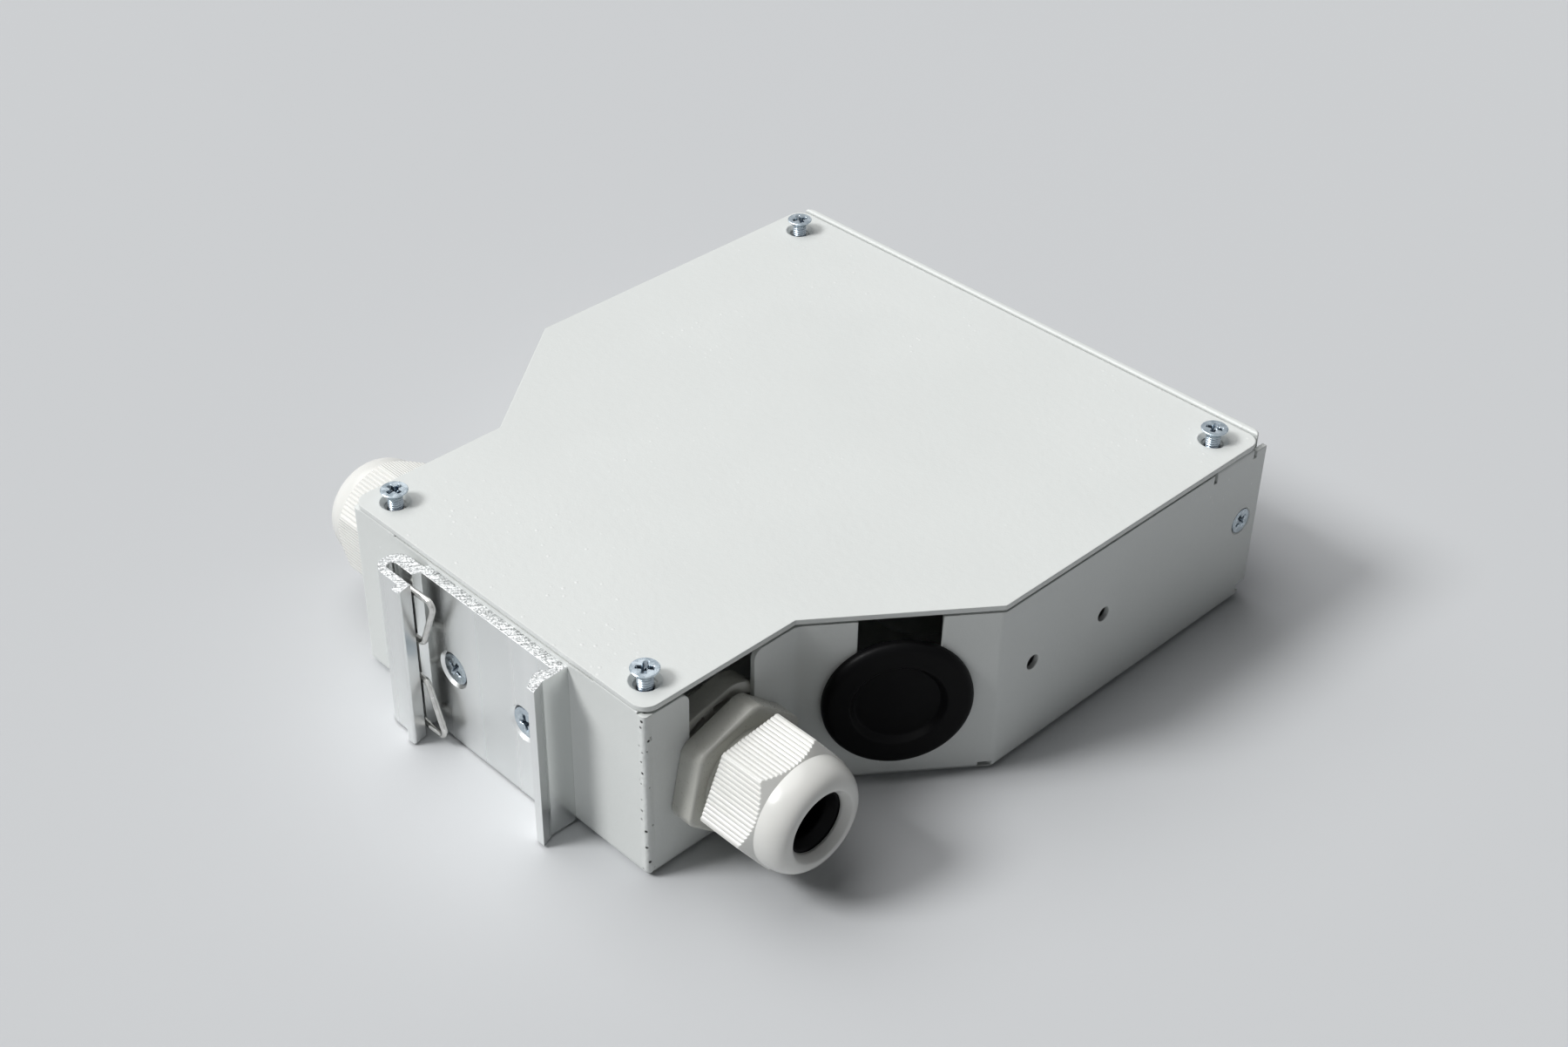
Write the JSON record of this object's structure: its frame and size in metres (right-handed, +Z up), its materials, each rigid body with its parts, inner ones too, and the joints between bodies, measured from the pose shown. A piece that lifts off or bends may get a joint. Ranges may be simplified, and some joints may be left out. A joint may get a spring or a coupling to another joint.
{
  "type": "din rail fibre box",
  "caption": "Low sheet-steel box for joining optical fibres, narrowed at the rear, with a rail clip, cable glands, blanking plugs, a screwed lid and capped adapters in the front panel.",
  "frame": {"origin": "under the middle of the bounding box, on the plane that the base rests on", "axes": "+Z up; +Y out of the rear wall that carries the rail clip; the adapters face -Y; X across the glands"},
  "size_m": [0.128, 0.1616, 0.041],
  "materials": {
    "painted_steel": "fine orange-peel powder coat",
    "aluminium": "satin, extruded",
    "spring_steel": "bright drawn wire",
    "zinc_steel": "zinc plated",
    "nylon": "moulded, slightly glossy",
    "rubber": "moulded",
    "tray_plastic": "moulded",
    "adapter_plastic": "moulded",
    "cap_plastic": "moulded"
  },
  "bodies": {
    "case": {"base_tray": "painted_steel", "front_panel": "painted_steel", "rail_clip": "aluminium", "clip_screw_1": "zinc_steel", "clip_screw_2": "zinc_steel", "clip_nut_1": "zinc_steel", "clip_nut_2": "zinc_steel", "panel_screw_left": "zinc_steel", "panel_screw_right": "zinc_steel", "tray_screw_1": "zinc_steel", "tray_screw_2": "zinc_steel", "standoff_1": "zinc_steel", "standoff_2": "zinc_steel", "gland_body_left": "nylon", "gland_body_right": "nylon", "gland_locknut_left": "nylon", "gland_locknut_right": "nylon", "gland_seal_left": "rubber", "gland_seal_right": "rubber", "blanking_plug_left": "rubber", "blanking_plug_right": "rubber", "splice_tray": "tray_plastic", "splice_holder": "tray_plastic", "adapter_1": "adapter_plastic", "adapter_2": "adapter_plastic", "adapter_3": "adapter_plastic", "adapter_4": "adapter_plastic", "adapter_5": "adapter_plastic", "adapter_6": "adapter_plastic", "adapter_7": "adapter_plastic", "adapter_8": "adapter_plastic", "adapter_cap_1": "cap_plastic", "adapter_cap_2": "cap_plastic", "adapter_cap_3": "cap_plastic", "adapter_cap_4": "cap_plastic", "adapter_cap_5": "cap_plastic", "adapter_cap_6": "cap_plastic", "adapter_cap_7": "cap_plastic", "adapter_cap_8": "cap_plastic"},
    "cover": {"lid": "painted_steel"},
    "dome_nut_left": {"gland_nut_left": "nylon"},
    "dome_nut_right": {"gland_nut_right": "nylon"},
    "wire_spring": {"clip_spring": "spring_steel"},
    "screw_front_left": {"lid_screw_front_left": "zinc_steel"},
    "screw_front_right": {"lid_screw_front_right": "zinc_steel"},
    "screw_rear_left": {"lid_screw_rear_left": "zinc_steel"},
    "screw_rear_right": {"lid_screw_rear_right": "zinc_steel"}
  },
  "joints": [
    {"name": "cover_lift", "type": "slide", "parent": "case", "child": "cover", "axis": [0, 0, 1], "range_m": [0, 0.045]},
    {"name": "wire_spring_push", "type": "slide", "parent": "case", "child": "wire_spring", "axis": [1, 0, 0], "range_m": [0, 0.003], "stiffness_N_per_m": 2000, "springref_m": -0.0005},
    {"name": "dome_nut_left_turn", "type": "hinge", "parent": "case", "child": "dome_nut_left", "pos_m": [-0.0555, 0.05355, 0.0168], "axis": [-1, 0, 0], "range_deg": [-360, 30]},
    {"name": "dome_nut_right_turn", "type": "hinge", "parent": "case", "child": "dome_nut_right", "pos_m": [0.0555, 0.05355, 0.0168], "axis": [1, 0, 0], "range_deg": [-360, 30]},
    {"name": "screw_front_left_slide", "type": "slide", "parent": "cover", "child": "screw_front_left", "axis": [0, 0, 1], "range_m": [-0.0028, 0.004]},
    {"name": "screw_front_right_slide", "type": "slide", "parent": "cover", "child": "screw_front_right", "axis": [0, 0, 1], "range_m": [-0.0028, 0.004]},
    {"name": "screw_rear_left_slide", "type": "slide", "parent": "cover", "child": "screw_rear_left", "axis": [0, 0, 1], "range_m": [-0.0028, 0.004]},
    {"name": "screw_rear_right_slide", "type": "slide", "parent": "cover", "child": "screw_rear_right", "axis": [0, 0, 1], "range_m": [-0.0028, 0.004]}
  ]
}
